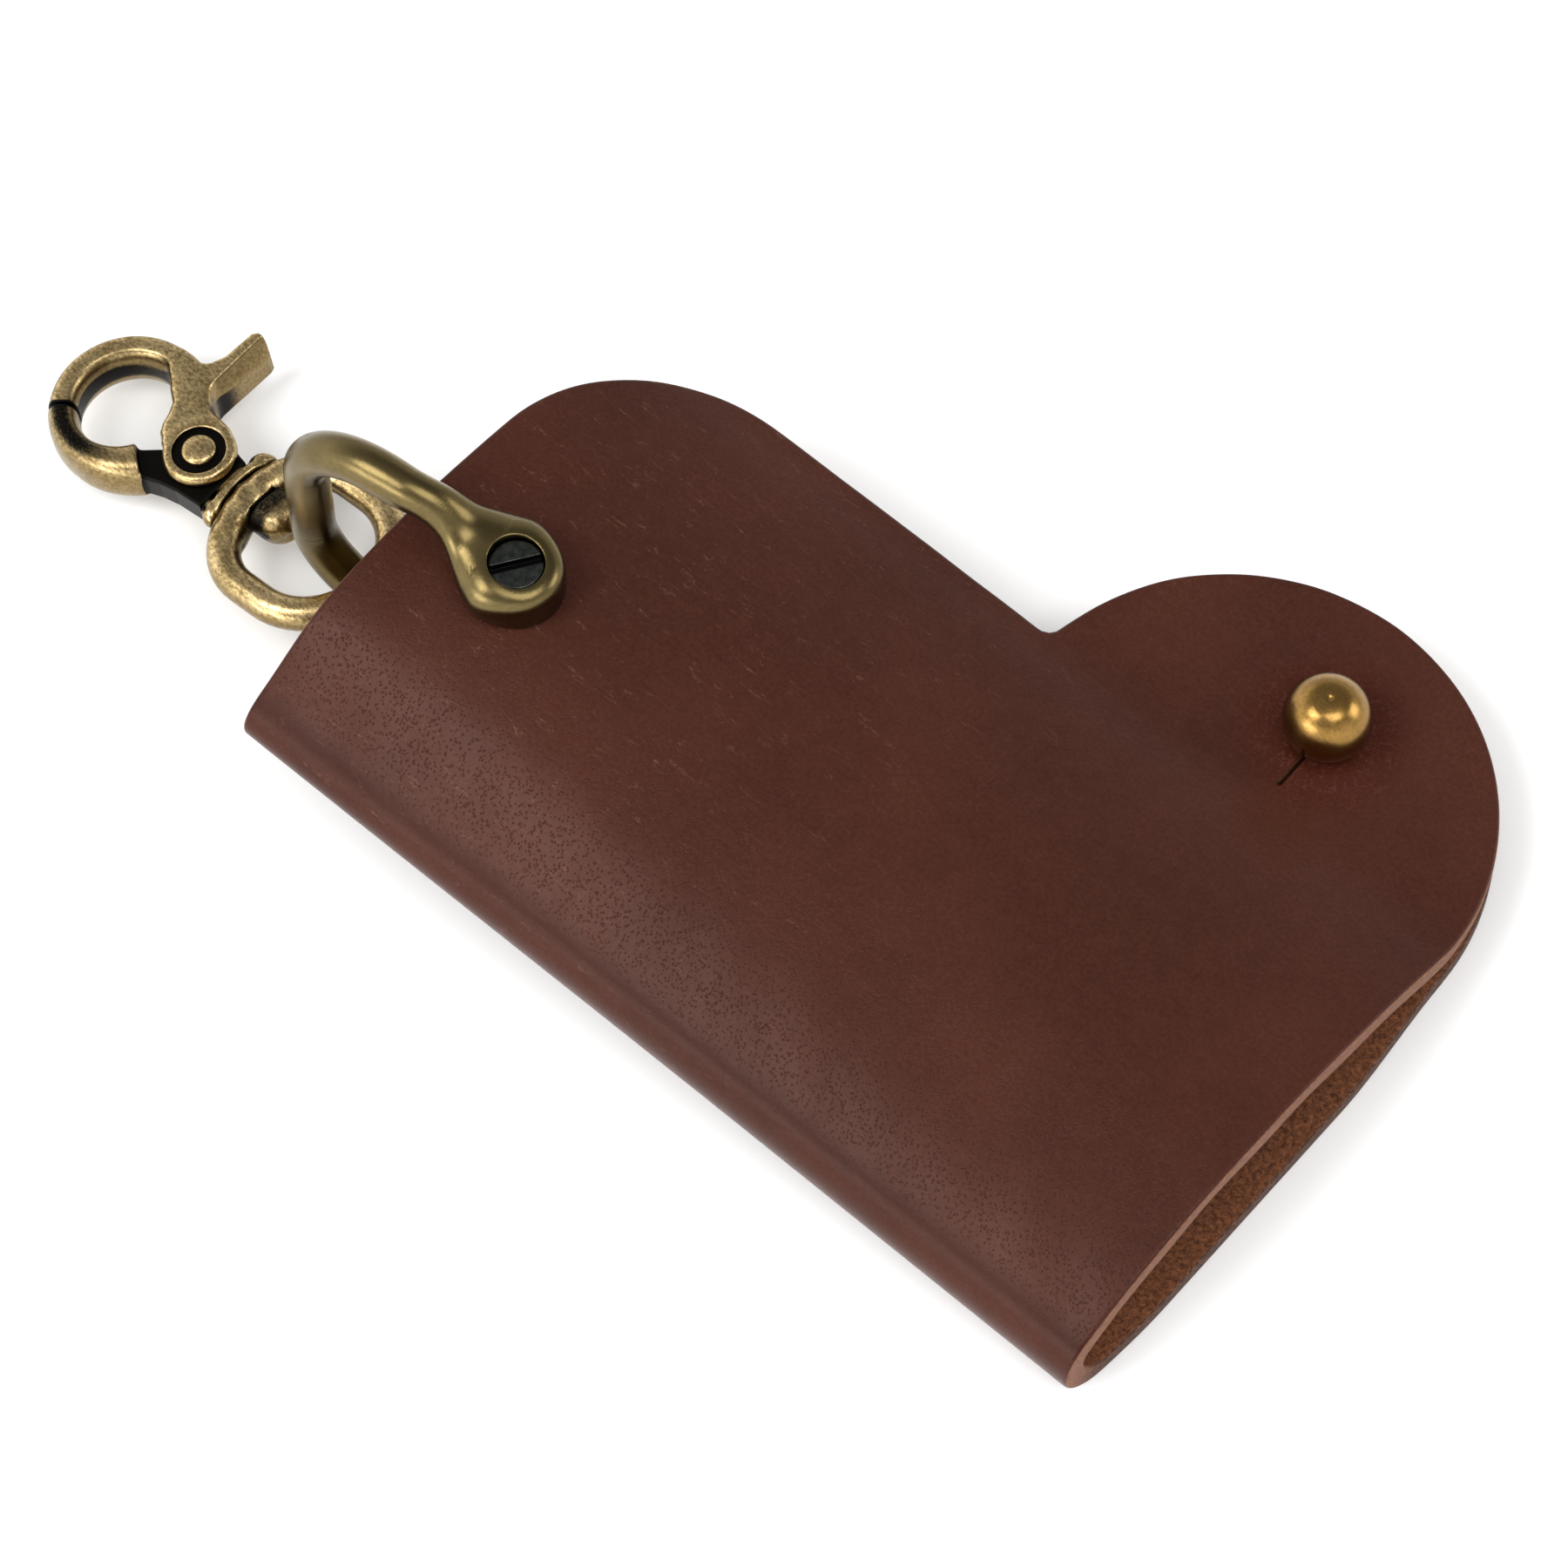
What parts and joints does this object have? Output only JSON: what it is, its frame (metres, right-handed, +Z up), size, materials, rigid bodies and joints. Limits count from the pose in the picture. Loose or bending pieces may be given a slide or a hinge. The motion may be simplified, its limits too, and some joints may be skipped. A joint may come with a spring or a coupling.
{
  "type": "folded leather key case",
  "caption": "Folded leather key case with a ball stud closure, a screw shackle that carries the keys, a swivel ring and a trigger snap hook.",
  "frame": {"origin": "middle of the whole part's plan, at its lowest point, the hook's tip", "axes": "+X along the fold toward the open end, +Y from the fold toward the tab, +Z up through the panels from the back panel to the front panel"},
  "size_m": [0.1288, 0.0698, 0.0295],
  "materials": {
    "leather": "satin, smooth grain",
    "antique_brass": "antique, worn bright on the edges",
    "golden_brass": "polished",
    "gunmetal": "dark, satin"
  },
  "bodies": {
    "case": {"leather_case": "leather", "stud_post": "golden_brass", "stud_screw": "gunmetal"},
    "flap": {"front_flap": "leather", "buttonhole": "leather"},
    "shackle": {"shackle": "antique_brass"},
    "screw": {"shackle_screw": "gunmetal"},
    "ring": {"swivel_ring": "antique_brass"},
    "hook": {"hook_frame": "antique_brass", "pivot_rivet": "antique_brass", "trigger_spring": "gunmetal"},
    "trigger": {"trigger_lever": "antique_brass"}
  },
  "joints": [
    {"name": "flap_open", "type": "hinge", "parent": "case", "child": "flap", "pos_m": [0, -0.00185, 0.02021], "axis": [1, 0, 0], "range_deg": [0, 50], "stiffness_Nm_per_rad": 0.05, "deforming": ["buttonhole"]},
    {"name": "shackle_swing", "type": "hinge", "parent": "case", "child": "shackle", "pos_m": [-0.01345, -0.0131, 0.01538], "axis": [0, 0, 1], "range_deg": [-26, 10]},
    {"name": "shackle_screw_out", "type": "slide", "parent": "shackle", "child": "screw", "axis": [0, 0, 1], "range_m": [0, 0.024]},
    {"name": "ring_swing", "type": "hinge", "parent": "shackle", "child": "ring", "pos_m": [-0.03314, -0.01587, 0.00637], "axis": [0, 1, 0], "range_deg": [-50, 0]},
    {"name": "hook_swivel", "type": "hinge", "parent": "ring", "child": "hook", "pos_m": [-0.03481, -0.01587, 0.00615], "axis": [-0.9914, 0, -0.1305], "continuous": true},
    {"name": "trigger_pull", "type": "hinge", "parent": "hook", "child": "trigger", "pos_m": [-0.04849, -0.01587, 0.00435], "axis": [0.1305, 0, -0.9914], "range_deg": [0, 32], "stiffness_Nm_per_rad": 0.01, "springref_deg": -34.38, "deforming": ["trigger_spring"]}
  ]
}
